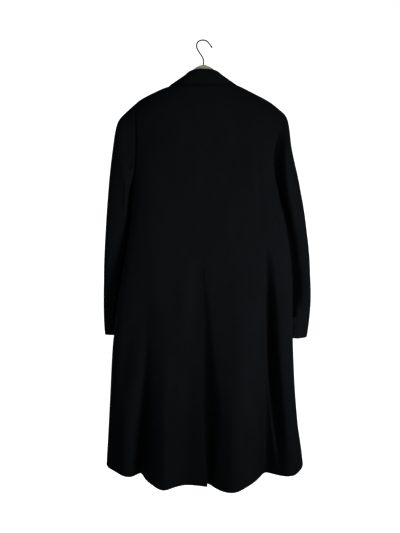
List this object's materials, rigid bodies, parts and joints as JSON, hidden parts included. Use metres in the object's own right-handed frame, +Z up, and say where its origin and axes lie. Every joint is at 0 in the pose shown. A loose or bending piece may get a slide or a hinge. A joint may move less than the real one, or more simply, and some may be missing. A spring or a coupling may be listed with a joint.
{
  "type": "overcoat on hanger",
  "caption": "Knee-length single-breasted overcoat with notched lapels, set-in sleeves and a back vent, hanging buttoned on a hanger.",
  "frame": {"origin": "underside of the hook's top bend, in the middle of the wire's width, where the hanger rests on a rail", "axes": "+Z up, -Y the coat's front, +X towards the wearer's left"},
  "size_m": [0.6175, 0.2577, 1.2928],
  "materials": {
    "wool": "matte brushed wool",
    "button": "polished dark horn look",
    "hanger": "satin moulded",
    "hook": "dark bright wire"
  },
  "bodies": {
    "root": {"back_left": "wool", "back_right": "wool", "front_left": "wool", "front_right": "wool", "lapel_left": "wool", "lapel_right": "wool", "collar": "wool", "sleeve_top_left": "wool", "sleeve_under_left": "wool", "sleeve_top_right": "wool", "sleeve_under_right": "wool", "button_1": "button", "button_2": "button", "button_3": "button", "hanger": "hanger", "hanger_hook": "hook"}
  },
  "joints": []
}
